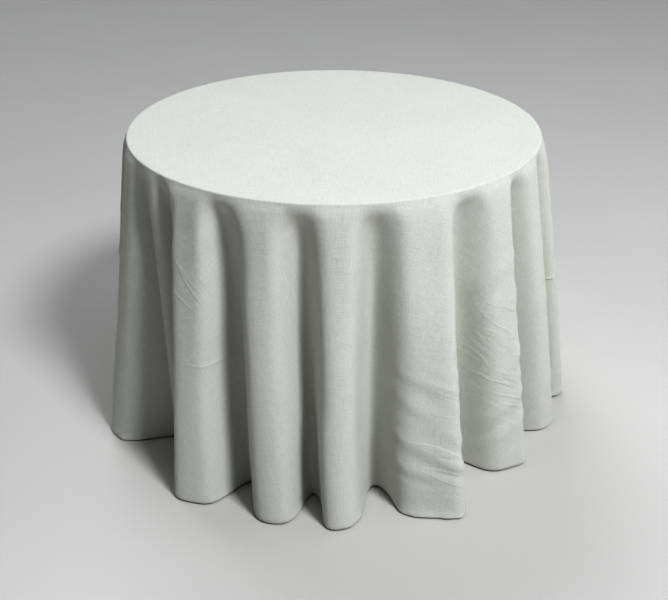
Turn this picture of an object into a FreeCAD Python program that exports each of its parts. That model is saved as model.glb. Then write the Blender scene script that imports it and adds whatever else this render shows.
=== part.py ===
"""Round floor-length tablecloth on a folding round table.

Row frame: millimetres, +Z up, origin on the floor under the centre of the table top.
-Y is the front. Azimuths are degrees round +Z from the front, growing towards +X.

The table is a round plywood board with a moulded edge. Two U-shaped steel leg frames
hang in saddle hinges under it. The right frame stands on the +X side and is the wider one,
so that the left frame folds inside it, one tube lower. Each leg has a brace whose hooked end
holds on a keeper pin under the board. The cloth is one round panel with a turned-up hem.
It lies on the board and hangs to the floor in folds.
"""

import FreeCAD, Part
import math
import os
from FreeCAD import Vector as V

# ---- driving dimensions ----
TABLE_D = 1000.0  # over the edge band
TOP_Z = 748.0  # upper face of the board
BOARD_T = 18.0
BAND_T = 3.0
BAND_LIP = 1.0  # how far the band stands below the board
BAND_ROUND = 2.0
TONGUE = (2.0, 9.0)  # height and depth of the band's tongue

CLOTH_T = 2.0
CLOTH_GAP = 0.5  # between the cloth and the edge band
RIM_GAP = 0.2  # the same where the cloth rounds the edge
FLOOR_GAP = 1.0  # the cloth ends just clear of the floor
HEM_H = 12.0
HEM_T = 1.0
HEM_CLEAR = 0.25
THREAD_W, THREAD_H = 0.6, 0.8
EDGE_ROUND = 4.0  # how the cloth rounds the board's edge
EDGE_HOLD = 24.0  # the cloth lies against the edge this far down before a furrow turns in
TUCK = 40.0  # how far the furrows turn in under the board
TUCK_FALL = 60.0  # and how soon
# One line for each fold: azimuth of its ridge and how far out that stands at the floor,
# then the same for the furrow after it.
FOLDS = [
    (-64, 622, -47, 474), (-30, 636, -21.5, 490), (-12.5, 624, -5, 492), (1, 626, 11, 480),
    (24, 646, 40, 466), (50, 606, 58, 470), (67, 610, 75, 482), (84, 638, 94, 474),
    (104, 628, 114, 477), (124, 638, 135, 468), (146, 622, 157, 480), (168, 634, 179, 472),
    (189, 632, 199, 477), (210, 638, 221, 468), (232, 624, 242, 477), (252, 634, 263, 472),
    (274, 636, 285, 474),
]  # fmt: skip

TUBE_R = 12.5
TUBE_WALL = 1.5
BEND_R = 45.0
SPLAY = 2.5  # degrees that the legs lean out
HINGE_X = 325.0
FRAME_HALF_Y = {"right": 225.0, "left": 190.0}
BEARER_T = {"right": 10.0, "left": 44.0}  # wood strips that set the height of the hinges
CROSS_AT = {"right": 370.0, "left": 600.0}  # cross tube, from the hinge along the leg
BRACE_AT = 230.0  # brace pivot, from the hinge along the leg
BEARER_W = 96.0
BEARER_HALF_Y = {"right": 200.0, "left": 165.0}
SADDLE_Y = {"right": 150.0, "left": 115.0}

RUN_GAP = 0.05  # running clearance of a pin or tube, on the radius
SADDLE_T, SADDLE_W, SADDLE_FLANGE = 2.5, 30.0, 22.0
SCREW_R, SCREW_HEAD_R, SCREW_HEAD_H, SCREW_BITE = 2.25, 4.5, 3.0, 8.0
BRACE_W, BRACE_T, BRACE_OFF = 20.0, 4.0, 8.0
PIVOT_R, PIVOT_HEAD_R, PIVOT_HEAD_H = 4.0, 7.0, 2.0
KEEPER_X, KEEPER_Z = 120.0, 712.0
KEEPER_EAR_T, KEEPER_HALF_IN, KEEPER_HALF_X = 2.0, 6.0, 12.0
HOOK_GAP = 0.5
CAP_R, CAP_H, CAP_FLOOR = 15.0, 32.0, 4.0

# ---- what follows from them ----
SIDE = {"right": 1.0, "left": -1.0}  # which side in x a frame stands on
ENDS = {"front": -1, "rear": 1}  # which end of a frame in y
R = TABLE_D / 2
BOARD_UNDER = TOP_Z - BOARD_T
BEARER_UNDER = {f: BOARD_UNDER - BEARER_T[f] for f in SIDE}
HINGE_Z = {f: BEARER_UNDER[f] - TUBE_R - 0.1 for f in SIDE}
Y_AXIS = V(0, 1, 0)
Z_AXIS = V(0, 0, 1)


def save(name, *solids):
    """Writes one node as STEP from one or more closed solids."""
    found = [s for shape in solids for s in shape.Solids]
    assert found and all(s.isValid() and s.Volume > 0 for s in found), name
    shape = found[0] if len(found) == 1 else Part.makeCompound(found)
    shape.exportStep(f"parts/{name}.step")
    box = shape.BoundBox
    print(f"{name:24s} {len(found):3d} solids  {box.XLength:7.1f} {box.YLength:7.1f} {box.ZLength:7.1f}")


# ---- cloth ----
def fold_cells():
    """Azimuth and reach of the furrow before, the ridge and the furrow after, for each fold."""
    cells = []
    for i, (ridge, reach, after, after_reach) in enumerate(FOLDS):
        before, before_reach = FOLDS[i - 1][2:]
        cells.append((before - (360 if i == 0 else 0), before_reach, ridge, reach, after, after_reach))
    return cells


def ridge_and_furrow(z, ridge_reach, furrow_reach):
    """Radii of a ridge and a furrow of the cloth's outer face at height z."""
    top_r = R + CLOTH_GAP + CLOTH_T
    fall = (TOP_Z + CLOTH_T - z) / (TOP_Z + CLOTH_T)
    under = max(0.0, TOP_Z + CLOTH_T - z - EDGE_HOLD)
    ridge = top_r + (ridge_reach - top_r) * fall**0.9
    tuck = TUCK * (1 - math.exp(-under / TUCK_FALL)) * (1 - fall**1.5)
    return ridge, top_r - tuck + (furrow_reach - top_r) * fall**1.5 * (under > 0)


def skirt_outline(z, steps=6):
    """Points of the cloth's outer face at height z, as (x, y), once round."""
    points = []
    for before, before_reach, middle, reach, after, after_reach in fold_cells():
        for low, high, furrow_reach, rising in (
            (before, middle, before_reach, True),
            (middle, after, after_reach, False),
        ):
            ridge, furrow = ridge_and_furrow(z, reach, furrow_reach)
            for k in range(steps):
                share = k / steps
                lift = 0.5 - 0.5 * math.cos(math.pi * share)
                r = furrow + (ridge - furrow) * (lift if rising else 1 - lift)
                azimuth = math.radians(low + (high - low) * share)
                points.append((r * math.sin(azimuth), -r * math.cos(azimuth)))
    return points


def closed_wire(points):
    """Smooth closed wire through points with even spline parameters, one edge for each fold."""
    count = len(points)
    curve = Part.BSplineCurve()
    curve.interpolate(Points=points, PeriodicFlag=True, Parameters=[float(i) for i in range(count + 1)])
    step = count // len(FOLDS)
    return Part.Wire([curve.toShape(i, i + step) for i in range(0, count, step)])


def ring(z, inward):
    """Closed wire at height z, moved in from the cloth's outer face by `inward`."""
    outer = skirt_outline(z)
    points = []
    for i, (x, y) in enumerate(outer):
        (ax, ay), (bx, by) = outer[i - 1], outer[(i + 1) % len(outer)]
        length = math.hypot(bx - ax, by - ay)
        points.append(V(x - (by - ay) / length * inward, y + (bx - ax) / length * inward, z))
    return closed_wire(points)


def rounded_ring(z_from, z, blend, r_end):
    """Closed wire at height z, part way from the outline at z_from to a circle of radius r_end."""
    points = []
    for x, y in skirt_outline(z_from):
        k = 1 + (r_end / math.hypot(x, y) - 1) * blend
        points.append(V(x * k, y * k, z))
    return closed_wire(points)


def low_band(z_low, height, inward, thickness):
    """Thin upright ring that follows the folds near the floor."""
    def filled(low, high, depth):
        return Part.makeLoft([ring(low, depth), ring(high, depth)], True, True)

    z_high = z_low + height
    return filled(z_low, z_high, inward).cut(filled(z_low - 1, z_high + 1, inward + thickness))


def tablecloth():
    """One panel: flat on the board, rounded over its edge, then hanging in folds."""
    shoulder = TOP_Z + CLOTH_T - EDGE_ROUND
    levels = [FLOOR_GAP + HEM_H, 120.0, 300.0, 480.0, 600.0, 660.0, 700.0, 724.0, shoulder]
    outer = Part.makeLoft([ring(z, 0.0) for z in [FLOOR_GAP, *levels]], True, False)
    hollow = Part.makeLoft([ring(z, CLOTH_T) for z in [FLOOR_GAP - 1.0, *levels]], True, False)
    hollow = hollow.fuse(Part.makeCylinder(R + RIM_GAP, TOP_Z - shoulder, V(0, 0, shoulder)))
    steps = 5
    rounding = [ring(shoulder, 0.0)]
    for k in range(1, steps + 1):
        angle = math.pi / 2 * k / steps
        rounding.append(rounded_ring(shoulder, shoulder + EDGE_ROUND * math.sin(angle),
                                     1 - math.cos(angle), R + CLOTH_GAP + CLOTH_T - EDGE_ROUND))
    crown = Part.makeLoft(rounding, True, False)
    return outer.fuse(crown).cut(hollow).removeSplitter()


# ---- board ----
def edge_band():
    """Vinyl moulding round the board, with the tongue that holds it in the board's groove."""
    height = BOARD_T + BAND_LIP
    low = V(0, 0, BOARD_UNDER - BAND_LIP)
    drum = Part.makeCylinder(R, height, low)
    rims = [e for e in drum.Edges if isinstance(e.Curve, Part.Circle)]
    wall = drum.makeFillet(BAND_ROUND, rims).cut(Part.makeCylinder(R - BAND_T, height, low))
    mid = V(0, 0, TOP_Z - BOARD_T / 2 - TONGUE[0] / 2)
    tongue = Part.makeCylinder(R - BAND_T + 0.5, TONGUE[0], mid).cut(
        Part.makeCylinder(R - BAND_T - TONGUE[1], TONGUE[0], mid))
    return wall.fuse(tongue).removeSplitter()


def bearer(frame):
    """Wood strip under the board that a frame's saddles are screwed to."""
    half_y = BEARER_HALF_Y[frame]
    corner = V(SIDE[frame] * HINGE_X - BEARER_W / 2, -half_y, BEARER_UNDER[frame])
    block = Part.makeBox(BEARER_W, 2 * half_y, BEARER_T[frame], corner)
    upright = [e for e in block.Edges if abs(e.tangentAt(e.FirstParameter).z) > 0.9]
    return block.makeFillet(6.0, upright)


def saddle(frame, y):
    """Bent steel strap round the hinge tube, with two flanges on the bearer."""
    x, z = SIDE[frame] * HINGE_X, BEARER_UNDER[frame]
    axis_z = HINGE_Z[frame]
    near = TUBE_R + RUN_GAP
    far = near + SADDLE_T
    tip = far + SADDLE_FLANGE
    under = z - SADDLE_T

    def at(dx, height):
        return V(x + dx, y - SADDLE_W / 2, height)

    outline = [
        Part.Arc(at(-near, axis_z), at(0, axis_z - near), at(near, axis_z)),
        Part.LineSegment(at(near, axis_z), at(near, z)),
        Part.LineSegment(at(near, z), at(tip, z)),
        Part.LineSegment(at(tip, z), at(tip, under)),
        Part.LineSegment(at(tip, under), at(far, under)),
        Part.LineSegment(at(far, under), at(far, axis_z)),
        Part.Arc(at(far, axis_z), at(0, axis_z - far), at(-far, axis_z)),
        Part.LineSegment(at(-far, axis_z), at(-far, under)),
        Part.LineSegment(at(-far, under), at(-tip, under)),
        Part.LineSegment(at(-tip, under), at(-tip, z)),
        Part.LineSegment(at(-tip, z), at(-near, z)),
        Part.LineSegment(at(-near, z), at(-near, axis_z)),
    ]
    return Part.Face(Part.Wire([piece.toShape() for piece in outline])).extrude(V(0, SADDLE_W, 0))


def screw(x, y, z_face, through):
    """Pan-head screw: head below z_face, shank up through the strap and into the wood."""
    head = Part.makeCylinder(SCREW_HEAD_R, SCREW_HEAD_H, V(x, y, z_face - SCREW_HEAD_H))
    rim = [e for e in head.Edges if abs(e.BoundBox.ZMax - (z_face - SCREW_HEAD_H)) < 1e-6]
    head = head.makeFillet(1.2, rim)
    return head.fuse(Part.makeCylinder(SCREW_R, through + SCREW_BITE, V(x, y, z_face))).removeSplitter()


def saddle_screws(frame):
    """Four screws for each frame, two in each saddle."""
    reach = TUBE_R + RUN_GAP + SADDLE_T + SADDLE_FLANGE / 2
    face = BEARER_UNDER[frame] - SADDLE_T
    return [
        screw(SIDE[frame] * HINGE_X + dx, y, face, SADDLE_T + BEARER_T[frame])
        for y in (-SADDLE_Y[frame], SADDLE_Y[frame])
        for dx in (-reach, reach)
    ]


def brace_y(frame):
    """Middle of a brace bar in y: outside the leg on the right frame, inside it on the left one."""
    return FRAME_HALF_Y[frame] + SIDE[frame] * (TUBE_R + BRACE_OFF + BRACE_T / 2)


def keeper(frame, side_y):
    """Folded bracket with two ears and the pin that a brace hooks on."""
    x, y = SIDE[frame] * KEEPER_X, side_y * brace_y(frame)
    half_y = KEEPER_HALF_IN + KEEPER_EAR_T
    low = KEEPER_Z - 8.0
    body = Part.makeBox(2 * KEEPER_HALF_X, 2 * half_y, BOARD_UNDER - low,
                        V(x - KEEPER_HALF_X, y - half_y, low))
    body = body.makeFillet(6.0, [e for e in body.Edges
                                 if abs(e.BoundBox.ZMax - low) < 1e-6 and e.BoundBox.YLength > 1])
    slot = Part.makeBox(2 * KEEPER_HALF_X, 2 * KEEPER_HALF_IN, BOARD_UNDER - KEEPER_EAR_T - low,
                        V(x - KEEPER_HALF_X, y - KEEPER_HALF_IN, low))
    tab_x = x + SIDE[frame] * KEEPER_HALF_X
    tab = Part.makeBox(20.0, 2 * half_y, KEEPER_EAR_T,
                       V(min(tab_x, tab_x + SIDE[frame] * 20.0), y - half_y, BOARD_UNDER - KEEPER_EAR_T))
    pin = Part.makeCylinder(PIVOT_R, 2 * half_y + 3.0, V(x, y - half_y - 1.5, KEEPER_Z), Y_AXIS)
    return body.cut(slot).fuse([tab, pin]).removeSplitter()


def keeper_screws():
    """One screw through the tab of each keeper."""
    return [
        screw(SIDE[f] * (KEEPER_X + KEEPER_HALF_X + 12.0), s * brace_y(f),
              BOARD_UNDER - KEEPER_EAR_T, KEEPER_EAR_T)
        for f in SIDE for s in ENDS.values()
    ]


# ---- leg frames ----
def along_leg(frame, distance, y):
    """Point on a leg's axis, at a distance from the hinge."""
    lean = math.radians(SPLAY)
    return V(SIDE[frame] * (HINGE_X + distance * math.sin(lean)), y,
             HINGE_Z[frame] - distance * math.cos(lean))


def leg_direction(frame):
    return (along_leg(frame, 1.0, 0) - along_leg(frame, 0.0, 0)).normalize()


def leg_length(frame):
    """From the hinge down to the end of the tube, just above the cap's floor."""
    return (HINGE_Z[frame] - CAP_FLOOR - 1.0) / math.cos(math.radians(SPLAY))


def swept_u(frame, radius):
    """Rod of the given radius along the frame's U: up one leg, across at the hinge, down the other."""
    half, end = FRAME_HALF_Y[frame], leg_length(frame)
    down = leg_direction(frame)
    left_low, right_low = along_leg(frame, end, -half), along_leg(frame, end, half)
    left_up, right_up = along_leg(frame, BEND_R, -half), along_leg(frame, BEND_R, half)
    left_in, right_in = along_leg(frame, 0, -half + BEND_R), along_leg(frame, 0, half - BEND_R)
    diagonal = BEND_R * (1 - math.sqrt(0.5))
    left_mid = along_leg(frame, diagonal, -half + diagonal)
    right_mid = along_leg(frame, diagonal, half - diagonal)
    path = Part.Wire([
        Part.LineSegment(left_low, left_up).toShape(),
        Part.Arc(left_up, left_mid, left_in).toShape(),
        Part.LineSegment(left_in, right_in).toShape(),
        Part.Arc(right_in, right_mid, right_up).toShape(),
        Part.LineSegment(right_up, right_low).toShape(),
    ])
    profile = Part.Wire([Part.makeCircle(radius, left_low, down * -1)])
    return path.makePipeShell([profile], True, True)


def pivot_hole(frame, side_y, radius, extra=0.0):
    """Cylinder along y through a leg and its brace at the brace pivot."""
    centre = along_leg(frame, BRACE_AT, 0)
    far = side_y * (brace_y(frame) + SIDE[frame] * (BRACE_T / 2 + extra))
    near = side_y * (FRAME_HALF_Y[frame] - SIDE[frame] * (TUBE_R + extra))
    low = min(near, far)
    return Part.makeCylinder(radius, abs(far - near), V(centre.x, low, centre.z), Y_AXIS)


def cross_rod(frame, radius):
    """Rod between the two legs, at the height of the cross tube."""
    p = along_leg(frame, CROSS_AT[frame], -FRAME_HALF_Y[frame])
    return Part.makeCylinder(radius, 2 * FRAME_HALF_Y[frame], p, Y_AXIS)


def leg_tube(frame):
    tube = swept_u(frame, TUBE_R).cut(swept_u(frame, TUBE_R - TUBE_WALL))
    return tube.cut([pivot_hole(frame, s, PIVOT_R) for s in (-1, 1)])


def cross_tube(frame):
    """Tube welded between the legs, cut to their round sides."""
    tube = cross_rod(frame, TUBE_R - 1.5).cut(cross_rod(frame, TUBE_R - 1.5 - TUBE_WALL))
    tube = tube.cut(swept_u(frame, TUBE_R))
    return max(tube.Solids, key=lambda s: s.Volume)


def foot_cap(frame, side_y):
    """Rubber cup on the end of a leg, flat where it stands on the floor."""
    y = side_y * FRAME_HALF_Y[frame]
    end = leg_length(frame)
    low = along_leg(frame, end + 3 * CAP_FLOOR, y)
    cup = Part.makeCylinder(CAP_R, CAP_H + 3 * CAP_FLOOR, low, leg_direction(frame) * -1)
    socket = Part.makeCylinder(TUBE_R, CAP_H + 1.0, along_leg(frame, end, y), leg_direction(frame) * -1)
    floor = Part.makeBox(400, 400, 50, V(low.x - 200, low.y - 200, -50))
    return cup.cut([socket, floor])


def brace_pivots(frame):
    """A riveted pin with two heads through each leg and its brace."""
    pins = []
    for s in (-1, 1):
        shank = pivot_hole(frame, s, PIVOT_R, 0.4)
        for centre_y in (shank.BoundBox.YMin - PIVOT_HEAD_H, shank.BoundBox.YMax):
            centre = along_leg(frame, BRACE_AT, 0)
            shank = shank.fuse(Part.makeCylinder(PIVOT_HEAD_R, PIVOT_HEAD_H,
                                                 V(centre.x, centre_y, centre.z), Y_AXIS))
        pins.append(shank.removeSplitter())
    return pins


# ---- braces ----
def brace(frame, side_y):
    """Flat bar from the leg's pivot to the keeper pin, which sits in its hook."""
    pivot = along_leg(frame, BRACE_AT, 0)
    hook = V(SIDE[frame] * KEEPER_X, 0, KEEPER_Z)
    y = side_y * brace_y(frame) - BRACE_T / 2
    length = (hook - pivot).Length
    bar = Part.makeBox(length, BRACE_T, BRACE_W, V(0, 0, -BRACE_W / 2))
    for x in (0.0, length):
        bar = bar.fuse(Part.makeCylinder(BRACE_W / 2, BRACE_T, V(x, 0, 0), Y_AXIS))
    bar = bar.removeSplitter()
    bar = bar.cut(Part.makeCylinder(PIVOT_R + RUN_GAP, BRACE_T, V(0, 0, 0), Y_AXIS))
    pin_r = PIVOT_R + HOOK_GAP
    mouth = Part.makePolygon([V(length - pin_r, 0, 0), V(length + pin_r, 0, 0),
                              V(length - pin_r + 4, 0, BRACE_W), V(length - 3 * pin_r - 4, 0, BRACE_W),
                              V(length - pin_r, 0, 0)])
    throat = Part.Face(mouth).extrude(V(0, BRACE_T, 0))
    bar = bar.cut([Part.makeCylinder(pin_r, BRACE_T, V(length, 0, 0), Y_AXIS), throat])
    if SIDE[frame] > 0:  # the hook opens to the outside of the table on both frames
        bar = bar.mirror(V(0, 0, 0), V(1, 0, 0))
        angle = math.degrees(math.atan2(hook.z - pivot.z, pivot.x - hook.x))
    else:
        angle = -math.degrees(math.atan2(hook.z - pivot.z, hook.x - pivot.x))
    bar.rotate(V(0, 0, 0), Y_AXIS, angle)
    bar.translate(V(pivot.x, y, pivot.z))
    return bar


# ---- nodes ----
def main():
    os.makedirs("parts", exist_ok=True)
    for old in os.listdir("parts"):
        os.remove(os.path.join("parts", old))

    save("tablecloth_panel", tablecloth())
    save("hem_turn_up", low_band(FLOOR_GAP, HEM_H, CLOTH_T + HEM_CLEAR, HEM_T))
    save("hem_thread", low_band(FLOOR_GAP + HEM_H - 2.0, THREAD_H, -HEM_CLEAR - THREAD_W, THREAD_W))

    screws = {f: saddle_screws(f) for f in SIDE}
    small = keeper_screws()
    moulding = edge_band()
    board = Part.makeCylinder(R - BAND_T, BOARD_T, V(0, 0, BOARD_UNDER))
    save("table_board", board.cut([moulding, *screws["right"], *screws["left"], *small]))
    save("edge_band", moulding)
    save("keeper_screws", *small)

    for f in SIDE:
        save(f"bearer_{f}", bearer(f).cut(screws[f]))
        save(f"saddle_screws_{f}", *screws[f])
        save(f"leg_tube_{f}", leg_tube(f))
        save(f"cross_tube_{f}", cross_tube(f))
        save(f"brace_pivots_{f}", *brace_pivots(f))
        for end, s in ENDS.items():
            save(f"saddle_{f}_{end}", saddle(f, s * SADDLE_Y[f]).cut(screws[f]))
            save(f"keeper_{f}_{end}", keeper(f, s).cut(small))
            save(f"foot_cap_{f}_{end}", foot_cap(f, s))
            save(f"brace_{f}_{end}", brace(f, s))

    for f in SIDE:
        pivot = along_leg(f, BRACE_AT, 0)
        foot = along_leg(f, HINGE_Z[f] / math.cos(math.radians(SPLAY)), FRAME_HALF_Y[f])
        brace_angle = math.degrees(math.atan2(KEEPER_Z - pivot.z, pivot.x * SIDE[f] - KEEPER_X))
        print(f"{f} frame: hinge z {HINGE_Z[f]:.2f}, brace pivot {pivot.x:.3f} {pivot.z:.3f}, "
              f"foot {foot.x:.1f} {foot.y:.1f}, brace rises {brace_angle:.3f} deg")


main()
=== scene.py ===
"""Round linen tablecloth on a folding round table, dressed for the camera.

Metres, in the row frame: +Z up, origin on the floor under the middle of the table top,
-Y is the front. Azimuths are degrees round +Z from the front, growing towards +X.
"""

import math

import bpy
import numpy as np
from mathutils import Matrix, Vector


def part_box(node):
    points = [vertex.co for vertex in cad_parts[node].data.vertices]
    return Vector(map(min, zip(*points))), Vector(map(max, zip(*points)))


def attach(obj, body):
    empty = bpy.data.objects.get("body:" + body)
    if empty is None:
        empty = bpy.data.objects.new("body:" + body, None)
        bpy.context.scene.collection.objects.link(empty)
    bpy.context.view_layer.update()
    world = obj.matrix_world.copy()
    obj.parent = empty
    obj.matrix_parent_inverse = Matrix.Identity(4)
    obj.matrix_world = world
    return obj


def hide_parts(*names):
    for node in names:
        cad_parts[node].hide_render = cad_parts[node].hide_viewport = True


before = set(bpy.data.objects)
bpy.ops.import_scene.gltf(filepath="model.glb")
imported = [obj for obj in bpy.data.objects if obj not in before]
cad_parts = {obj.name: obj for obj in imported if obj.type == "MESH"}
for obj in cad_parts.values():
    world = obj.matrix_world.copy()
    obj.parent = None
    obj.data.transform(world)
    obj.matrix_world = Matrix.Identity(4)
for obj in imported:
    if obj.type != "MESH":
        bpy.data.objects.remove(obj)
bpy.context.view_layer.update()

# ---- the cloth ----
CLOTH_R = 1.260  # radius of the round cut
CLOTH_T = 0.0007  # its thickness
HEM_H = 0.012  # height of the turned-up hem
RIM_ROUND = 0.0034  # how tightly the cloth rounds the table's edge
BOARD_GAP, BAND_GAP = 0.0002, 0.0004  # between the cloth and the board, and the edge band
# One line for each fold, going round from the left front. The first two pairs are the two
# shoulders of its ridge and the third is the furrow after it, each as azimuth and distance
# from the middle, at the floor. The last value is how many degrees the ridge's top lies
# before its foot.
FOLDS = [
    (-67.0, 0.640, -62.5, 0.622, -55.0, 0.474, 2.0),
    (-50.5, 0.512, -48.0, 0.516, -43.5, 0.476, 3.0),
    (-36.5, 0.640, -29.5, 0.620, -23.8, 0.490, 4.2),
    (-15.0, 0.622, -11.5, 0.616, -5.5, 0.490, 4.2),
    (-1.3, 0.624, 2.8, 0.620, 11.0, 0.472, 0.0),
    (18.0, 0.602, 27.0, 0.656, 36.5, 0.464, 1.0),
    (46.5, 0.590, 51.5, 0.620, 59.0, 0.468, 5.0),
    (67.0, 0.606, 71.5, 0.624, 77.0, 0.478, 9.0),
    (82.0, 0.640, 86.0, 0.642, 94.0, 0.470, 8.0),
    (102.0, 0.622, 107.0, 0.632, 115.0, 0.475, 6.0),
    (122.0, 0.632, 127.5, 0.640, 136.5, 0.466, 3.0),
    (145.0, 0.626, 149.0, 0.616, 158.0, 0.478, 0.0),
    (166.0, 0.628, 171.5, 0.638, 180.0, 0.470, -2.0),
    (187.0, 0.636, 191.0, 0.626, 200.0, 0.476, -2.0),
    (209.0, 0.630, 214.0, 0.640, 224.5, 0.466, -1.0),
    (235.5, 0.622, 240.0, 0.630, 247.5, 0.474, 0.0),
    (256.0, 0.634, 260.5, 0.628, 267.0, 0.470, 0.0),
    (273.5, 0.610, 277.5, 0.614, 284.5, 0.476, 1.0),
]
FURROW_LEAN = 1.0  # degrees that a furrow leans past the mean of the ridges beside it
TUCK_R, TUCK_FALL = 0.458, 0.06  # radius that the furrows turn in to under the board, and how soon
EDGE_HOLD = 0.019  # the cloth lies against the edge this far down before a furrow turns in
RIDGE_STEP, RIDGE_FALL = 0.009, 0.02  # how far the ridges step out just under the rim, and how soon
RIDGE_GROWTH, FURROW_GROWTH = 0.95, 1.5  # powers of the drop's share by which they near their reach
FULLEST = 1.25  # the fullest S that a span between a ridge and a furrow may take
STRAIGHT = 1e-3  # an S less full than this is straight
HALVINGS = 22  # steps of the search for an S of the right length
ARCH_STEPS = 100  # points along a span
SOFTEN, SOFTEN_HEIGHT = 70, 60  # waves to the turn that a ring's plan and its height keep
LEAST_FALL = 0.3  # a length of cloth falls by at least the root of this share, however far aside it runs
FLOOR_CLEAR = 0.0010  # gap under the cloth
FLOOR_TUCK = 0.9  # share of the length too long for the drop that turns inward at the floor
TINY = 1e-9

# ---- settling ----
AROUND, RINGS = 432, 58  # the settling mesh: points round a ring, rings of the hanging part
TOP_RINGS = (0.03, 0.012, 0.0)  # its rings on the flat top, in from where the cloth starts to bend
START_WAVES = 0.0002  # size of the random waves that the cloth starts with
WAVE_DOWN, WAVE_AROUND, WAVE_SEED = 0.05, 0.012, 10  # how much they are smoothed, and their seed
WAVES_FROM, WAVES_FADE = 0.53, 0.2  # radius on the cut where they start, and how soon they are full
CALM_AROUND, CALM_DOWN = 40, 4  # the settling keeps waves longer than these: per turn, in rings
BENDING, COMPRESSION = 5.0, 5.0  # stiffness of the linen
SETTLE_FRAMES = 20
GRIP_FADE = 0.03  # the settling takes hold over this length under the rim
# The colliders stand this far inside the cloth at the board's edge, and under the top and the floor gap
EDGE_INSET, TOP_INSET, FLOOR_INSET = 0.0042, 0.002, 0.0022
FLOOR_SLAB_R, FLOOR_SLAB_LOW = 1.2, -0.05

# ---- the mesh of the finished cloth ----
FINE_AROUND, FINE_RINGS = 540, 70  # points round a ring, even rings of the hanging part
CROWN_RINGS = [0.05, 0.12, 0.2, 0.28, 0.36, 0.42, 0.46, 0.485]  # radii on the flat top
RIM_RINGS = 4  # rings round the bend over the edge
HEM_RINGS = [0.018, 0.013, 0.0118, 0.0112, 0.0100, 0.0088, 0.006, 0.003, 0.001, 0.0]  # up from the edge
HEM_JOIN = 0.008  # from the last even ring to the first of those
HEM_FULL, HEM_DENT = 0.0002, 0.0003  # how far the hem swells, and how far its stitches pull it in
HEM_EDGE, DENT_HALF = 0.0005, 0.0012  # the edge that doesn't swell, half the height of the dent
STITCH_UP, STITCH_PITCH, STITCH_LONG, THREAD_R = 0.0100, 0.003, 0.0023, 0.00024

# ---- wear ----
RELIEF_FROM, RELIEF_FADE = 0.03, 0.05  # relief starts this far below the rim, and is full so much lower
# Wrinkles from wear, by patch: azimuths, drops below the rim, how many, their slant, their height
WRINKLES = [
    (40, 52, 0.20, 0.66, 18, 36, 0.0026),
    (60, 74, 0.30, 0.62, 8, 34, 0.0022),
    (16, 30, 0.38, 0.70, 12, -24, 0.0024),
    (-44, -34, 0.08, 0.26, 6, 38, 0.0018),
    (90, 285, 0.20, 0.70, 30, 25, 0.0020),
]
# What a wrinkle draws at random: share of its patch's height, degrees off its slant, length, width
WRINKLE_SHARE, WRINKLE_TURN = (0.6, 1.2), (-9, 9)
WRINKLE_LONG, WRINKLE_WIDE = (0.05, 0.11), (0.011, 0.017)
DENT_SHARE, DENT_AWAY = 0.6, 1.7  # the dent beside a wrinkle: share of its height, how many widths away
# Shallow grooves down a fold from the rim: azimuth, drops of its ends, half width, depth
GROOVES = [
    (-41.5, 0.0, 0.30, 0.011, 0.006),
    (62.0, 0.0, 0.20, 0.012, 0.003),
    (128.0, 0.0, 0.28, 0.014, 0.005),
]
GROOVE_START, GROOVE_END = 0.03, 0.14  # lengths over which a groove deepens and fades
# Patches of fine creases: azimuth, distance of the middle on the cut, spread, slant down to the right
CREASES = [
    (46, 0.94, 0.24, 36),
    (69, 0.92, 0.18, 34),
    (23, 1.06, 0.18, 20),
    (-38, 0.70, 0.10, 42),
    (150, 0.90, 0.26, 30),
    (235, 0.95, 0.26, -28),
]
CREASE_ALONG, CREASE_ACROSS = 5, 24  # scale of their noise along and across them
# Where the hem has buckled against the floor: azimuths, how far it turns out, puckers in the stretch
BUCKLES = [
    (-68, -60, 0.007, 3.0),
    (-16, -7, 0.005, 2.0),
    (-1, 5, 0.005, 2.0),
    (12, 22, 0.007, 3.0),
    (44, 55, 0.003, 3.0),
    (140, 152, 0.006, 3.0),
    (206, 217, 0.006, 3.0),
]
BUCKLE_H = 0.016  # how high above the edge the buckling reaches
# Marks of the iron: direction they face, distance from the middle, shift along, half length, depth
PRESS_MARKS = [
    (74, 0.87, 0.03, 0.24, 0.8),
    (-31, 0.90, 0.0, 0.13, 0.35),
    (160, 0.86, 0.05, 0.3, 0.8),
    (250, 0.92, -0.08, 0.3, 0.8),
]
MARK_HALF = 0.0055  # half the width of such a mark
THREAD_ACROSS, THREAD_ALONG = 520, 22  # scale of the linen's noise across and along its threads
WEAVE_SCALE = 330.0

# ---- camera and light ----
CAMERA_AT = (0.0, -2.139, 1.449)
CAMERA_DOWN = 29.2  # degrees below level that it looks
CAMERA_LENS = 48.5
FLOOR_SIZE = 80
# A round soft box: azimuth, elevation, distance from the middle of the table top, size, watts
SOFT_BOX = (38, 47, 6.5, 1.6, 265)
# Broad far lights: azimuth, elevation, angle across, strength
FAR_LIGHTS = {
    "overhead": (10, 84, 50, 0.48),
    "right_edge": (98, 28, 25, 0.20),
    "back": (200, 46, 35, 0.85),
}
LIGHT_COLOUR = (0.975, 0.995, 1.045)
SUN_DISTANCE = 3.0  # where the far lights' objects stand; their light doesn't depend on it
SKY_COLOUR = (0.93, 0.96, 1.0, 1)
HORIZON_LIGHT, SKY_LIGHT = 0.40, 0.02  # strength of the sky at the horizon and high up
HORIZON_FROM, HORIZON_TO = 0.04, 0.22  # it fades between these: sines of the elevation

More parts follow.
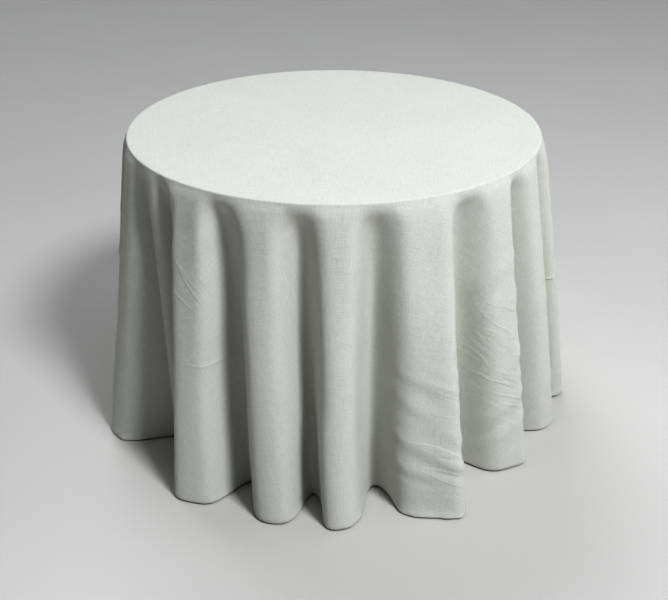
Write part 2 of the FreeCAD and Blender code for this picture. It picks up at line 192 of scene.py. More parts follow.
# ---- what follows from the frame ----
board_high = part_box("table_board")[1]
band_low, band_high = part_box("edge_band")
TOP = board_high[2] + CLOTH_T / 2 + BOARD_GAP  # the middle of the cloth's thickness, on the top
RIM_R = band_high[0] + CLOTH_T / 2 + BAND_GAP  # and round the edge
FLAT_END = RIM_R - RIM_ROUND  # where the cloth starts to bend
DROP_FROM = FLAT_END + math.pi / 2 * RIM_ROUND  # where the cloth starts to hang
DROP = CLOTH_R - DROP_FROM

# half a turn in even steps, and the middles of those steps
arch_u = np.linspace(0, math.pi, ARCH_STEPS + 1)
arch_mid = (arch_u[1:] + arch_u[:-1]) / 2


def fold_marks():
    """The marks that every ring passes, in order: azimuth, its reach, lean and whether it is a ridge."""
    marks = []
    for i, (left, left_reach, right, right_reach, furrow, furrow_reach, lean) in enumerate(FOLDS):
        next_lean = FOLDS[(i + 1) % len(FOLDS)][6]
        marks.append((left, left_reach, lean, True))
        marks.append((right, right_reach, lean, True))
        marks.append((furrow, furrow_reach, (lean + next_lean) / 2 + FURROW_LEAN, False))
    first = marks[0]
    return marks + [(first[0] + 360, *first[1:])]


MARKS = fold_marks()


def mark_at(mark, drop):
    """Azimuth in radians and radius of a mark of the ring that hangs `drop` below the rim."""
    azimuth, reach, lean, ridge = mark
    f = drop / DROP
    if ridge:
        step = RIDGE_STEP * (1 - math.exp(-drop / RIDGE_FALL))
        r = RIM_R + step + (reach - RIM_R - RIDGE_STEP) * f**RIDGE_GROWTH
    else:
        tuck = 1 - math.exp(-max(0, drop - EDGE_HOLD) / TUCK_FALL)
        grown = f**FURROW_GROWTH
        r = RIM_R + (TUCK_R - RIM_R) * tuck * (1 - grown) + (reach - RIM_R) * grown
    return math.radians(azimuth - lean * (1 - f)), r


def span_curve(w, start, end, nose):
    """(x, y, length so far) from mark to mark: an S of fullness w, or an arc over a ridge's nose."""
    if nose:
        t = n = arch_u / math.pi
    else:
        psi = w * np.sin(arch_mid)
        t = np.concatenate([[0], np.cumsum(np.cos(psi))])
        t = t / t[-1]
        n = np.concatenate([[0], np.cumsum(np.sin(psi))])
        n = n / n[-1] if w > STRAIGHT else (1 - np.cos(arch_u)) / 2
    azimuth = start[0] + (end[0] - start[0]) * t
    r = start[1] + (end[1] - start[1]) * n
    x, y = r * np.sin(azimuth), -r * np.cos(azimuth)
    return x, y, np.concatenate([[0], np.cumsum(np.hypot(np.diff(x), np.diff(y)))])


def fuller(start, end, length):
    """The S from start to end that comes nearest to `length` without folding back on itself."""
    low, high = 0.0, FULLEST
    for _ in range(HALVINGS):
        w = (low + high) / 2
        if span_curve(w, start, end, False)[2][-1] > length:
            high = w
        else:
            low = w
    return span_curve(low, start, end, False)


def ring_points(rho, phi):
    """Plan of the ring of cloth that was cut at radius rho."""
    if rho <= DROP_FROM + TINY:
        r = rho if rho <= FLAT_END else FLAT_END + RIM_ROUND * math.sin((rho - FLAT_END) / RIM_ROUND)
        return r * np.sin(phi), -r * np.cos(phi)
    at = [mark_at(m, rho - DROP_FROM) for m in MARKS]
    rim = [math.radians(m[0] - m[2]) for m in MARKS]
    xs, ys, ss, starts, run = [], [], [], [], 0.0
    for i in range(len(MARKS) - 1):
        if MARKS[i][3] and MARKS[i + 1][3]:
            x, y, s = span_curve(0.0, at[i], at[i + 1], True)
        else:
            x, y, s = fuller(at[i], at[i + 1], (rim[i + 1] - rim[i]) * rho)
        starts.append(run)
        xs.append(x[:-1])
        ys.append(y[:-1])
        ss.append(run + s[:-1])
        run += s[-1]
    x, y, s = (np.concatenate(v) for v in (xs, ys, ss))
    # even places along that closed line, turned so that its marks keep near their azimuths at the rim
    share = run / (2 * math.pi)
    zero = np.mean(np.array(starts) - share * np.array(rim[:-1]))
    want = np.mod(zero + share * phi, run)
    return np.interp(want, s, x, period=run), np.interp(want, s, y, period=run)


def smooth_round(values, keep):
    """Smooths values round the ring: waves much finer than `keep` to the turn go."""
    n = values.shape[-1]
    waves = np.abs(np.fft.fftfreq(n) * n)
    return np.real(np.fft.ifft(np.fft.fft(values, axis=-1) * np.exp(-0.5 * (waves / keep) ** 2), axis=-1))


def hung_cloth():
    """The cloth before it settles: (points by ring and place round it, the rings' radii on the cut)."""
    on_top = [FLAT_END - inward for inward in TOP_RINGS]
    rho = np.array([*on_top, *np.linspace(DROP_FROM, CLOTH_R, RINGS + 1)])
    phi = np.arange(AROUND) / AROUND * 2 * math.pi
    p = np.zeros((len(rho), AROUND, 3))
    for i, r in enumerate(rho):
        x, y = ring_points(r, phi)
        p[i, :, 0], p[i, :, 1] = smooth_round(x, SOFTEN), smooth_round(y, SOFTEN)
    for i, r in enumerate(rho):
        if r <= FLAT_END + TINY:
            p[i, :, 2] = TOP
        elif r <= DROP_FROM + TINY:
            p[i, :, 2] = TOP - RIM_ROUND * (1 - math.cos((r - FLAT_END) / RIM_ROUND))
        else:
            step = r - rho[i - 1]
            aside = np.linalg.norm(p[i, :, :2] - p[i - 1, :, :2], axis=1) / step
            fall = np.sqrt(np.clip(1 - aside**2, LEAST_FALL, 1)) * step
            p[i, :, 2] = smooth_round(p[i - 1, :, 2] - fall, SOFTEN_HEIGHT)
    for ring in p[1:]:
        over = np.clip(FLOOR_CLEAR + CLOTH_T / 2 - ring[:, 2], 0, None)
        r = np.hypot(ring[:, 0], ring[:, 1])
        ring[:, :2] *= ((r - FLOOR_TUCK * over) / r)[:, None]
        ring[:, 2] += over
    return p, rho


# ---- settling ----
def sheet_faces(rings):
    """Quads of a closed band of rings with AROUND points each."""
    faces = []
    for i in range(rings - 1):
        for j in range(AROUND):
            k = (j + 1) % AROUND
            faces.append((i * AROUND + j, (i + 1) * AROUND + j, (i + 1) * AROUND + k, i * AROUND + k))
    return faces


def add_object(name, points, faces):
    """A mesh object in the scene."""
    mesh = bpy.data.meshes.new(name)
    mesh.from_pydata(np.asarray(points, float).reshape(-1, 3).tolist(), [], faces)
    mesh.update()
    obj = bpy.data.objects.new(name, mesh)
    bpy.context.scene.collection.objects.link(obj)
    return obj


def add_collider(name, radius, low, high):
    """A round slab that the settling cloth can't pass."""
    bpy.ops.mesh.primitive_cylinder_add(
        radius=radius, depth=high - low, vertices=256, location=(0, 0, (low + high) / 2)
    )
    slab = bpy.context.object
    slab.name = name
    slab.modifiers.new("Collision", "COLLISION")
    slab.collision.thickness_outer = 0.001
    slab.collision.cloth_friction = 20.0
    slab.collision.damping = 0.5
    return slab


def waves(shape, down, around, seed):
    """Smooth random field of unit spread: larger `down` and `around` keep only longer waves."""
    grain = np.random.default_rng(seed).standard_normal(shape)
    fr = np.fft.fftfreq(shape[0])[:, None] * shape[0]
    fp = np.fft.fftfreq(shape[1])[None, :] * shape[1]
    kept = np.exp(-0.5 * ((fr * down) ** 2 + (fp * around) ** 2))
    field = np.real(np.fft.ifft2(np.fft.fft2(grain) * kept))
    return field / field.std()


def settled(p, rho):
    """Lets the hung cloth settle under gravity for a moment and returns its points."""
    depth = np.clip((rho - WAVES_FROM) / WAVES_FADE, 0, 1)[:, None]
    start = p.copy()
    for axis in (0, 1):
        field = waves(p.shape[:2], WAVE_DOWN, WAVE_AROUND, WAVE_SEED + axis)
        start[:, :, axis] += field * START_WAVES * depth
    cloth = add_object("settling_cloth", start, sheet_faces(len(rho)))
    held = cloth.vertex_groups.new(name="held")
    held_rings = int(np.sum(rho <= DROP_FROM + TINY))
    held.add(list(range(held_rings * AROUND)), 1.0, "REPLACE")
    modifier = cloth.modifiers.new("Cloth", "CLOTH")
    fabric = modifier.settings
    fabric.quality = 6
    fabric.mass = 0.0003
    fabric.air_damping = 2.0
    fabric.tension_stiffness, fabric.compression_stiffness = 40, COMPRESSION
    fabric.shear_stiffness = 10
    fabric.bending_stiffness = BENDING
    fabric.tension_damping = fabric.compression_damping = fabric.shear_damping = 5
    fabric.bending_damping = 2
    fabric.vertex_group_mass = "held"
    contact = modifier.collision_settings
    contact.use_collision = True
    contact.distance_min = 0.0015
    contact.collision_quality = 2
    contact.use_self_collision = False
    modifier.point_cache.frame_start = 1
    modifier.point_cache.frame_end = SETTLE_FRAMES
    slabs = [
        add_collider("settling_floor", FLOOR_SLAB_R, FLOOR_SLAB_LOW, FLOOR_CLEAR - FLOOR_INSET),
        add_collider("settling_board", RIM_R - EDGE_INSET, band_low[2], board_high[2] - TOP_INSET),
    ]
    scene = bpy.context.scene
    scene.frame_start, scene.frame_end = 1, SETTLE_FRAMES
    for frame_number in range(1, SETTLE_FRAMES + 1):
        scene.frame_set(frame_number)
    now = cloth.evaluated_get(bpy.context.evaluated_depsgraph_get())
    points = np.empty(p.size)
    now.data.vertices.foreach_get("co", points)
    scene.frame_set(1)
    for obj in [cloth, *slabs]:
        bpy.data.objects.remove(obj, do_unlink=True)
    grip = np.clip((rho - DROP_FROM) / GRIP_FADE, 0, 1)[:, None, None]
    return p + calmed(points.reshape(p.shape) - p) * grip


def calmed(shift):
    """What the settling moved, without its short ripples."""
    spectrum = np.fft.rfft(shift, axis=1)
    spectrum *= np.exp(-0.5 * (np.arange(spectrum.shape[1]) / CALM_AROUND) ** 2)[None, :, None]
    shift = np.fft.irfft(spectrum, shift.shape[1], axis=1)
    reach = 3 * CALM_DOWN
    weights = np.exp(-0.5 * (np.arange(-reach, reach + 1) / CALM_DOWN) ** 2)
    padded = np.pad(shift, ((reach, reach), (0, 0), (0, 0)), mode="edge")
    return sum(w * padded[i : i + len(shift)] for i, w in enumerate(weights / weights.sum()))


# ---- the cloth as sewn ----
def catmull(rings, at):
    """Rings between the given evenly spaced ones, at fractional places, on a smooth curve."""
    last = len(rings) - 1
    i = np.clip(np.floor(at).astype(int), 0, last - 1)
    f = (at - i)[:, None, None]
    a, b, c, d = (rings[np.clip(i + k, 0, last)] for k in (-1, 0, 1, 2))
    return b + 0.5 * f * (c - a + f * (2 * a - 5 * b + 4 * c - d + f * (3 * (b - c) + d - a)))


def refined(p):
    """The settled cloth on its final grid: (points, flat radii, flat angles)."""
    spectrum = np.zeros((len(p), FINE_AROUND // 2 + 1, 3), complex)
    coarse = np.fft.rfft(p, axis=1)
    spectrum[:, : coarse.shape[1]] = coarse
    around = np.fft.irfft(spectrum, FINE_AROUND, axis=1) * FINE_AROUND / AROUND
    hang_from = len(p) - 1 - RINGS
    hem = [CLOTH_R - x for x in HEM_RINGS]
    hang = np.concatenate([np.linspace(DROP_FROM, hem[0] - HEM_JOIN, FINE_RINGS), hem])
    skirt = catmull(around[hang_from:], (hang - DROP_FROM) / DROP * RINGS)
    phi = np.arange(FINE_AROUND) / FINE_AROUND * 2 * math.pi
    arc = np.linspace(0, math.pi / 2, RIM_RINGS + 1)[:-1]
    crown_rho = np.concatenate([CROWN_RINGS, FLAT_END + arc * RIM_ROUND])
    crown_r = np.concatenate([CROWN_RINGS, FLAT_END + RIM_ROUND * np.sin(arc)])
    crown_z = np.concatenate([np.full(len(CROWN_RINGS), TOP), TOP - RIM_ROUND * (1 - np.cos(arc))])
    crown = np.stack([
        np.outer(crown_r, np.sin(phi)), -np.outer(crown_r, np.cos(phi)),
        np.repeat(crown_z[:, None], FINE_AROUND, axis=1),
    ], 2)  # fmt: skip
    return np.concatenate([crown, skirt]), np.concatenate([crown_rho, hang]), phi


def normals_of(p):
    """Outward unit normals of a grid of rings."""
    around = np.roll(p, -1, 1) - np.roll(p, 1, 1)
    down = np.gradient(p, axis=0)
    n = np.cross(down, around)
    return n / np.maximum(np.linalg.norm(n, axis=2, keepdims=True), TINY)


def turn_from(phi, azimuth):
    """Angles from an azimuth in radians, the short way round."""
    return np.mod(phi - azimuth + math.pi, 2 * math.pi) - math.pi


def wrinkle(rho, phi, azimuth, drop, tilt, length, width):
    """Height of one wrinkle of unit size: a ridge with a shallow dent beside it."""
    middle = DROP_FROM + drop
    right, down = turn_from(phi, math.radians(azimuth))[None, :] * middle, (rho - middle)[:, None]
    t = math.radians(tilt)
    along = right * math.cos(t) - down * math.sin(t)
    across = right * math.sin(t) + down * math.cos(t)
    dent = DENT_SHARE * np.exp(-(((across - DENT_AWAY * width) / width) ** 2))
    return (np.exp(-((across / width) ** 2)) - dent) * np.exp(-((along / length) ** 2))


def relief(rho, phi):
    """How far each point of the cloth stands off its settled place: wrinkles, and the hem."""
    height = np.zeros((len(rho), len(phi)))
    chance = np.random.default_rng(7)
    for az_low, az_high, high, low, count, tilt, size in WRINKLES:
        for _ in range(count):
            height += size * chance.uniform(*WRINKLE_SHARE) * wrinkle(
                rho, phi, chance.uniform(az_low, az_high), chance.uniform(high, low),
                tilt + chance.uniform(*WRINKLE_TURN),
                chance.uniform(*WRINKLE_LONG), chance.uniform(*WRINKLE_WIDE),
            )  # fmt: skip
    for azimuth, high, low, half, depth in GROOVES:
        aside = np.outer(rho, turn_from(phi, math.radians(azimuth)))
        fade = np.clip((rho - DROP_FROM - high) / GROOVE_START, 0, 1)
        fade *= np.clip((low - rho + DROP_FROM) / GROOVE_END, 0, 1)
        height -= depth * fade[:, None] * np.exp(-((aside / half) ** 2))
    hanging = np.clip((rho - DROP_FROM - RELIEF_FROM) / RELIEF_FADE, 0, 1)[:, None]
    up = CLOTH_R - rho
    for az_low, az_high, size, puckers in BUCKLES:
        middle, half = math.radians((az_low + az_high) / 2), math.radians((az_high - az_low) / 2)
        along = turn_from(phi, middle) / half
        # two waves that don't keep step, so that no two puckers are alike
        pucker = 0.6 + 0.4 * np.sin(math.pi * puckers * along + 1) * np.cos(2.3 * math.pi * puckers * along)
        swell = np.clip(1 - along**2, 0, 1) * pucker
        height += size * np.exp(-((up / BUCKLE_H) ** 2))[:, None] * swell[None, :]
    hem = HEM_FULL * ((up < HEM_H) & (up > HEM_EDGE)) - HEM_DENT * (np.abs(up - STITCH_UP) < DENT_HALF)
    return height * hanging + hem[:, None]


def add_tablecloth(p, rho, phi):
    """The linen panel, from its middle to the hem, with its place on the cut as an attribute."""
    points = np.concatenate([[(0, 0, TOP)], p.reshape(-1, 3)])
    n = FINE_AROUND
    faces = [(0, 1 + j, 1 + (j + 1) % n) for j in range(n)]
    for i in range(len(rho) - 1):
        for j in range(n):
            a, b = 1 + i * n + j, 1 + i * n + (j + 1) % n
            faces.append((a, a + n, b + n, b))
    cloth = add_object("tablecloth", points, faces)
    cut = np.zeros((len(points), 3))
    cut[1:, 0], cut[1:, 1] = np.outer(rho, np.sin(phi)).ravel(), -np.outer(rho, np.cos(phi)).ravel()
    cloth.data.attributes.new("cut", "FLOAT_VECTOR", "POINT").data.foreach_set("vector", cut.ravel())
    thick = cloth.modifiers.new("Thickness", "SOLIDIFY")
    thick.thickness = CLOTH_T
    thick.offset = 0.0
    return cloth


def add_hem_fold(p, rho, normals):
    """The turned-up hem inside: one closed band that follows the folds."""
    # round its cross-section: height above the edge, and how many thicknesses in from the cloth's middle
    outline = [(HEM_H, 0.4), (HEM_H + 0.0004, 0.9), (HEM_H, 1.4), (HEM_H / 2, 1.7), (0.0008, 1.6),
               (-0.0002, 1.1), (0.0, 0.6), (HEM_H / 2, 0.55)]  # fmt: skip
    rings = []
    for up, inward in outline:
        at = np.interp(CLOTH_R - max(up, 0.0), rho, np.arange(len(rho)))
        i = min(int(at), len(rho) - 2)
        f = at - i
        place = p[i] * (1 - f) + p[i + 1] * f
        normal = normals[i] * (1 - f) + normals[i + 1] * f
        rings.append(place - normal * inward * CLOTH_T + (0, 0, min(up, 0.0)))
    n, m = FINE_AROUND, len(outline)
    faces = [(i * n + j, ((i + 1) % m) * n + j, ((i + 1) % m) * n + (j + 1) % n, i * n + (j + 1) % n)
             for i in range(m) for j in range(n)]  # fmt: skip
    return add_object("hem_fold", np.array(rings), faces)


def add_stitching(p, rho, normals):
    """Machine stitches round the hem, each a small spindle of thread half sunk in the linen."""
    at = int(np.argmin(np.abs(CLOTH_R - STITCH_UP - rho)))
    line = np.concatenate([p[at], p[at][:1]])
    out = np.concatenate([normals[at], normals[at][:1]])
    s = np.concatenate([[0], np.cumsum(np.linalg.norm(np.diff(line, axis=0), axis=1))])
    count = int(s[-1] / STITCH_PITCH)
    points, faces = [], []
    for k in range(count):
        middle = (k + 0.5) * s[-1] / count
        ends = [Vector([np.interp(middle + side * STITCH_LONG / 2, s, line[:, c]) for c in range(3)])
                for side in (-1, 1)]  # fmt: skip
        normal = Vector([np.interp(middle, s, out[:, c]) for c in range(3)]).normalized()
        along = (ends[1] - ends[0]).normalized()
        across = along.cross(normal) * THREAD_R
        lift = normal * (CLOTH_T / 2)
        base = len(points)
        # ten points: one end, two rings of four, the other end
        points.append(ends[0] + lift - normal * THREAD_R)
        for share in (0.25, 0.75):
            core = ends[0].lerp(ends[1], share) + lift + normal * THREAD_R * 0.4
            points += [core + across, core + normal * THREAD_R, core - across, core - normal * THREAD_R]
        points.append(ends[1] + lift - normal * THREAD_R)
        for c in range(4):
            d = (c + 1) % 4
            faces += [(base, base + 1 + d, base + 1 + c), (base + 9, base + 5 + c, base + 5 + d),
                      (base + 1 + c, base + 1 + d, base + 5 + d, base + 5 + c)]  # fmt: skip
    return add_object("hem_stitching", [tuple(v) for v in points], faces)


# ---- looks ----
class Look:
    """A principled material. Constants are set on the shader's own sockets."""

    def __init__(self, name, constants):
        self.material = bpy.data.materials.new(name)
        self.material.use_nodes = True
        self.tree = self.material.node_tree
        self.shader = self.tree.nodes["Principled BSDF"]
        for socket, value in constants.items():
            self.shader.inputs[socket].default_value = value

    def node(self, kind, inputs=None, **settings):
        """Adds a node and returns its first output. An input is a value or another node's output."""
        node = self.tree.nodes.new("ShaderNode" + kind)
        for key, value in settings.items():
            setattr(node, key, value)
        for key, value in (inputs or {}).items():
            if isinstance(value, bpy.types.NodeSocket):
                self.tree.links.new(value, node.inputs[key])
            else:
                node.inputs[key].default_value = value
        return node.outputs[0]

    def place(self):
        """Position in the row frame."""
        return self.node("TexCoord").node.outputs["Object"]

    def scaled(self, vector, *factors):
        """The vector with each of its parts multiplied by its own factor."""
        return self.node("VectorMath", {0: vector, 1: factors}, operation="MULTIPLY")

    def along(self, vector, way):
        """How far the vector reaches in the direction `way`."""
        return self.node("VectorMath", {0: vector, 1: way}, operation="DOT_PRODUCT").node.outputs["Value"]

    def noise(self, vector, scale, detail=2.0, rough=0.5):
        """Soft random values between 0 and 1."""
        inputs = {"Vector": vector, "Scale": scale, "Detail": detail, "Roughness": rough}
        return self.node("TexNoise", inputs)

    def math(self, operation, a, b=0.0, c=0.0):
        """One step of arithmetic on up to three values."""
        return self.node("Math", {0: a, 1: b, 2: c}, operation=operation)

    def ramp(self, value, low, high, to_low=0.0, to_high=1.0):
        """A smooth step from to_low to to_high, as the value goes from low to high."""
        inputs = {"Value": value, "From Min": low, "From Max": high, "To Min": to_low, "To Max": to_high}
        return self.node("MapRange", inputs, interpolation_type="SMOOTHSTEP")

    def mix(self, factor, a, b):
        """Colour a where the factor is 0, and b where it is 1. Sockets 6, 7 and 2 are the colour ones."""
        return self.node("Mix", {0: factor, 6: a, 7: b}, data_type="RGBA").node.outputs[2]

    def colour(self, value):
        """Sets what drives the shader's colour."""
        self.tree.links.new(value, self.shader.inputs["Base Color"])

    def rough(self, value):
        """Sets what drives its roughness."""
        self.tree.links.new(value, self.shader.inputs["Roughness"])

    def bump(self, height, distance, strength, under=None):
        """Bumps the shader's normal, over the bump `under` if there is one."""
        inputs = {"Height": height, "Distance": distance, "Strength": strength}
        if under:
            inputs["Normal"] = under
        normal = self.node("Bump", inputs)
        self.tree.links.new(normal, self.shader.inputs["Normal"])
        return normal


def shaded(colour, red, green, blue):
    """The colour with each of its parts cut to a share."""
    return (colour[0] * red, colour[1] * green, colour[2] * blue, 1)


def linen(name, light, dark):
    """Washed linen: uneven threads both ways, slubs, a plain weave and the marks of the iron."""
    look = Look(name, {"Sheen Weight": 0.12, "Sheen Roughness": 0.45, "Specular IOR Level": 0.2})
    cut = look.node("Attribute", attribute_name="cut").node.outputs["Vector"]
    cloud = look.noise(cut, 4.0, 3.0)
    warp = look.noise(look.scaled(cut, THREAD_ACROSS, THREAD_ALONG, 1), 1.0, 2.0, 0.6)
    weft = look.noise(look.scaled(cut, THREAD_ALONG, THREAD_ACROSS, 1), 1.0, 2.0, 0.6)
    speck = look.noise(cut, 330, 2.0, 0.7)
    threads = look.math("ADD", warp, weft)
    tone = look.math("MULTIPLY_ADD", threads, 0.42, look.math("MULTIPLY_ADD", speck, 0.75, -0.37))
    tone = look.math("MULTIPLY_ADD", cloud, 0.14, tone)
    look.colour(look.mix(look.ramp(tone, 0.2, 0.75), dark, light))
    look.rough(look.ramp(threads, 0.7, 1.3, 0.86, 0.97))
    spun = {"Vector": cut, "Scale": WEAVE_SCALE, "Distortion": 0.6, "Detail": 1.0}
    over, under = (look.node("TexWave", spun, bands_direction=way).node.outputs["Fac"] for way in "XY")
    weave = look.math("MAXIMUM", over, under)
    fine = look.bump(look.math("ADD", weave, look.math("MULTIPLY", threads, 1.5)), 0.0003, 0.7)
    soft = look.bump(look.noise(cut, 55, 3.0, 0.55), 0.0022, 0.5, fine)
    marked = look.bump(press_marks(look, cut), 0.0016, 1.0, soft)
    look.bump(creases(look, cut), 0.0011, 0.7, marked)
    return look.material


def press_marks(look, cut):
    """Height of the iron's marks: straight lines with soft ends."""
    total = None
    for direction, distance, shift, reach, depth in PRESS_MARKS:
        turn = math.radians(direction)
        ahead = look.along(cut, (math.sin(turn), -math.cos(turn), 0))
        aside = look.along(cut, (math.cos(turn), math.sin(turn), 0))
        off = look.math("ABSOLUTE", look.math("SUBTRACT", ahead, distance))
        away = look.math("ABSOLUTE", look.math("SUBTRACT", aside, shift))
        line, ends = look.ramp(off, 0.0, MARK_HALF, depth, 0.0), look.ramp(away, 0.6 * reach, reach, 1, 0)
        mark = look.math("MULTIPLY", line, ends)
        total = mark if total is None else look.math("ADD", total, mark)
    return total


def creases(look, cut):
    """Height of the fine creases: thin wandering lines, all one way within a patch."""
    total = None
    for azimuth, middle, spread, slant in CREASES:
        a, t = math.radians(azimuth), math.radians(slant)
        out, right = Vector((math.sin(a), -math.cos(a), 0)), Vector((math.cos(a), math.sin(a), 0))
        run, step = right * math.cos(t) + out * math.sin(t), out * math.cos(t) - right * math.sin(t)
        u, v = look.along(cut, run * CREASE_ALONG), look.along(cut, step * CREASE_ACROSS)
        field = look.noise(look.node("CombineXYZ", {0: u, 1: v, 2: azimuth}), 1.0, 1.6, 0.5)
        line = look.ramp(look.math("ABSOLUTE", look.math("SUBTRACT", field, 0.5)), 0.0, 0.07, 1.0, 0.0)
        far = look.node("VectorMath", {0: cut, 1: out * middle}, operation="DISTANCE").node.outputs["Value"]
        patch = look.math("MULTIPLY", line, look.ramp(far, 0.3 * spread, spread, 1.0, 0.0))
        total = patch if total is None else look.math("ADD", total, patch)
    return total


def thread_look():
    """Twisted cotton thread."""
    look = Look("stitch_thread", {"Roughness": 0.8, "Sheen Weight": 0.2})
    place = look.place()
    look.colour(look.mix(look.noise(place, 900), (0.66, 0.68, 0.62, 1), (0.78, 0.79, 0.74, 1)))
    look.bump(look.noise(place, 2600), 0.0002, 0.6)
    return look.material


def wood(name, light, dark, grain, knots):
    """Sanded wood with its grain along X: birch ply or a pine strip."""
    look = Look(name, {"Specular IOR Level": 0.35})
    place = look.place()
    wander = look.noise(look.scaled(place, 1.2, 4, 4), 1.0, 3.0)
    lines = look.noise(look.scaled(place, 3.0, grain, grain), 1.0, 5.0, 0.65)
    pores = look.noise(look.scaled(place, 60, 900, 900), 1.0, 2.0, 0.6)
    tone = look.math("MULTIPLY_ADD", wander, knots, look.math("MULTIPLY", lines, 0.75))
    colour = look.mix(look.ramp(tone, 0.3, 0.8), light, dark)
    colour = look.mix(look.ramp(pores, 0.56, 0.75, 0.0, 0.45), colour, shaded(dark, 0.5, 0.45, 0.4))
    look.colour(colour)
    look.rough(look.ramp(lines, 0.3, 0.7, 0.48, 0.66))
    look.bump(look.math("MULTIPLY_ADD", pores, -0.6, lines), 0.0004, 0.5)
    return look.material


def steel(name, colour, spots, rough_low, rough_high):
    """Bare or plated steel with soft mottling and fine scratches."""
    look = Look(name, {"Metallic": 1.0})
    place = look.place()
    mottle = look.noise(place, spots, 4.0, 0.6)
    scratch = look.noise(look.scaled(place, 80, 2500, 900), 1.0, 2.0)
    look.colour(look.mix(look.ramp(mottle, 0.35, 0.65), shaded(colour, 0.72, 0.72, 0.72), colour))
    look.rough(look.ramp(look.math("MULTIPLY_ADD", scratch, 0.5, mottle), 0.5, 1.1, rough_low, rough_high))
    look.bump(look.math("ADD", mottle, scratch), 0.0002, 0.4)
    return look.material


def coated(name, colour, worn, grain, rough_low, rough_high, wear):
    """Powder coat, vinyl or rubber: a fine-grained skin with rubbed patches, which show by `wear`."""
    look = Look(name, {"Specular IOR Level": 0.4})
    place = look.place()
    skin = look.noise(place, grain, 3.0, 0.6)
    rubbed = look.noise(look.scaled(place, 1, 1, 0.35), 38, 5.0, 0.7)
    shade = look.mix(look.ramp(skin, 0.3, 0.7), shaded(colour, 0.82, 0.82, 0.82), colour)
    look.colour(look.mix(look.ramp(rubbed, 0.66, 0.74, 0.0, wear), shade, worn))
    look.rough(look.ramp(rubbed, 0.35, 0.7, rough_low, rough_high))
    look.bump(skin, 0.0003, 0.5)
    return look.material


def paint_nodes():
    """Gives every CAD node its finish: the first one whose key its name starts with."""
    zinc = steel("zinc_plated_steel", (0.62, 0.63, 0.62, 1), 160, 0.3, 0.5)
    screw = steel("screw_steel", (0.5, 0.49, 0.46, 1), 240, 0.28, 0.45)
    paint = coated("leg_powder_coat", (0.055, 0.057, 0.06, 1), (0.22, 0.22, 0.21, 1), 1400, 0.38, 0.55, 0.35)
    vinyl = coated("edge_vinyl", (0.11, 0.075, 0.05, 1), (0.2, 0.15, 0.11, 1), 900, 0.42, 0.6, 0.25)
    rubber = coated("foot_rubber", (0.03, 0.03, 0.03, 1), (0.12, 0.115, 0.11, 1), 700, 0.7, 0.88, 0.5)
    finishes = {
        "table_board": wood("birch_ply", (0.62, 0.45, 0.27, 1), (0.43, 0.28, 0.15, 1), 48, 0.5),
        "bearer": wood("pine_strip", (0.66, 0.47, 0.26, 1), (0.42, 0.25, 0.11, 1), 90, 0.35),
        "edge_band": vinyl,
        "leg_tube": paint,
        "cross_tube": paint,
        "foot_cap": rubber,
        "saddle_screws": screw,
        "keeper_screws": screw,
        "saddle": zinc,
        "keeper": zinc,
        "brace_pivots": screw,
        "brace": zinc,
    }
    for name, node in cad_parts.items():
        for start, finish in finishes.items():
            if name.startswith(start):
                node.data.materials.clear()
                node.data.materials.append(finish)
                break


# ---- stage ----
def aim(light, azimuth, elevation, distance):
    """Puts a light in the scene, facing the middle of the table top from the given direction."""
    light.color = LIGHT_COLOUR
    obj = bpy.data.objects.new(light.name, light)
    bpy.context.scene.collection.objects.link(obj)
    a, e = math.radians(azimuth), math.radians(elevation)
    away = Vector((math.sin(a) * math.cos(e), -math.cos(a) * math.cos(e), math.sin(e)))
    obj.location = Vector((0, 0, TOP)) + away * distance
    obj.rotation_euler = (-away).to_track_quat("-Z", "Y").to_euler()


def floor_look():
    """Pale seamless paper."""
    look = Look("studio_paper", {"Roughness": 0.9})
    cloud = look.noise(look.place(), 1.5, 4.0)
    look.colour(look.mix(cloud, (0.50, 0.49, 0.465, 1), (0.53, 0.52, 0.495, 1)))
    return look.material


def add_floor():
    """The paper that the table stands on."""
    bpy.ops.mesh.primitive_plane_add(size=FLOOR_SIZE)
    floor = bpy.context.object
    floor.name = "studio_floor"
    floor.data.materials.append(floor_look())


def add_lights():
    """The soft box and the broad far lights."""
    azimuth, elevation, distance, size, watts = SOFT_BOX
    box = bpy.data.lights.new("soft_box", "AREA")
    box.shape, box.size, box.energy = "DISK", size, watts
    aim(box, azimuth, elevation, distance)
    for name, (sun_azimuth, sun_elevation, angle, strength) in FAR_LIGHTS.items():
        sun = bpy.data.lights.new(name, "SUN")
        sun.angle, sun.energy = math.radians(angle), strength
        aim(sun, sun_azimuth, sun_elevation, SUN_DISTANCE)


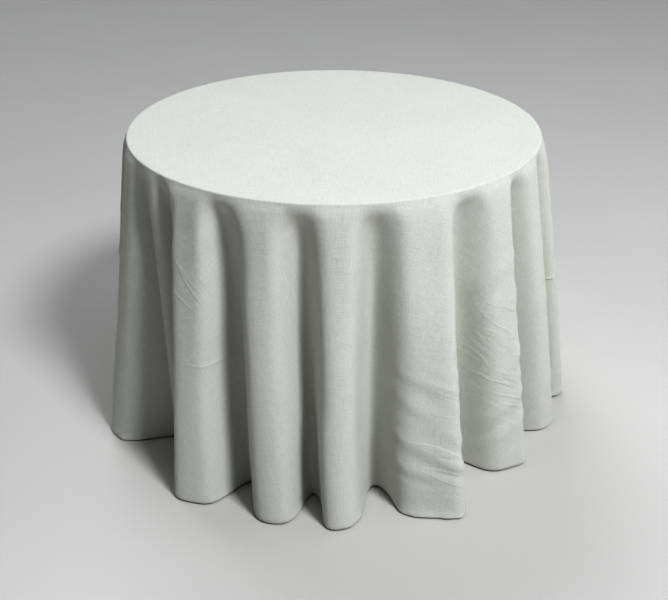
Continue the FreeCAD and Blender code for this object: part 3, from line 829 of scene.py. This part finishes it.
def add_sky():
    """A cool sky, bright up to the horizon and nearly dark above it."""
    world = bpy.data.worlds.new("studio")
    world.use_nodes = True
    tree = world.node_tree
    background = tree.nodes["Background"]
    background.inputs["Color"].default_value = SKY_COLOUR
    height = tree.nodes.new("ShaderNodeSeparateXYZ")
    tree.links.new(tree.nodes.new("ShaderNodeTexCoord").outputs["Generated"], height.inputs[0])
    fade = tree.nodes.new("ShaderNodeMapRange")
    fade.inputs["From Min"].default_value = HORIZON_FROM
    fade.inputs["From Max"].default_value = HORIZON_TO
    fade.inputs["To Min"].default_value = HORIZON_LIGHT
    fade.inputs["To Max"].default_value = SKY_LIGHT
    tree.links.new(height.outputs["Z"], fade.inputs["Value"])
    tree.links.new(fade.outputs["Result"], background.inputs["Strength"])
    bpy.context.scene.world = world


def add_camera():
    """A camera fitted to the perspective of the photograph."""
    camera = bpy.data.objects.new("camera", bpy.data.cameras.new("camera"))
    camera.data.lens = CAMERA_LENS
    camera.location = CAMERA_AT
    camera.rotation_euler = (math.radians(90 - CAMERA_DOWN), 0, 0)
    bpy.context.scene.collection.objects.link(camera)
    bpy.context.scene.camera = camera


def set_stage():
    """Pale floor, soft lights, the camera and a contrasty picture."""
    add_floor()
    add_lights()
    add_sky()
    add_camera()
    view = bpy.context.scene.view_settings
    view.view_transform, view.look = "Standard", "Very High Contrast"


# ---- making ----
hung, hung_rho = hung_cloth()
hung = settled(hung, hung_rho)
points, rho, phi = refined(hung)
points += normals_of(points) * relief(rho, phi)[:, :, None]
outward = normals_of(points)

tablecloth = add_tablecloth(points, rho, phi)
hem_fold = add_hem_fold(points, rho, outward)
stitching = add_stitching(points, rho, outward)
tablecloth.data.materials.append(linen("washed_linen", (0.66, 0.667, 0.615, 1), (0.54, 0.545, 0.495, 1)))
# The hem's linen is a shade darker than the panel's: painted shade for the double layer, which lets less
# light through.
hem_fold.data.materials.append(linen("hem_linen", (0.65, 0.657, 0.605, 1), (0.53, 0.535, 0.485, 1)))
stitching.data.materials.append(thread_look())
for piece, node, slot in (
    (tablecloth, "tablecloth_panel", "linen"),
    (hem_fold, "hem_turn_up", "hem_linen"),
    (stitching, "hem_thread", "thread"),
):
    piece.data.polygons.foreach_set("use_smooth", [True] * len(piece.data.polygons))
    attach(piece, "table_and_cloth")
    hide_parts(node)
paint_nodes()
set_stage()
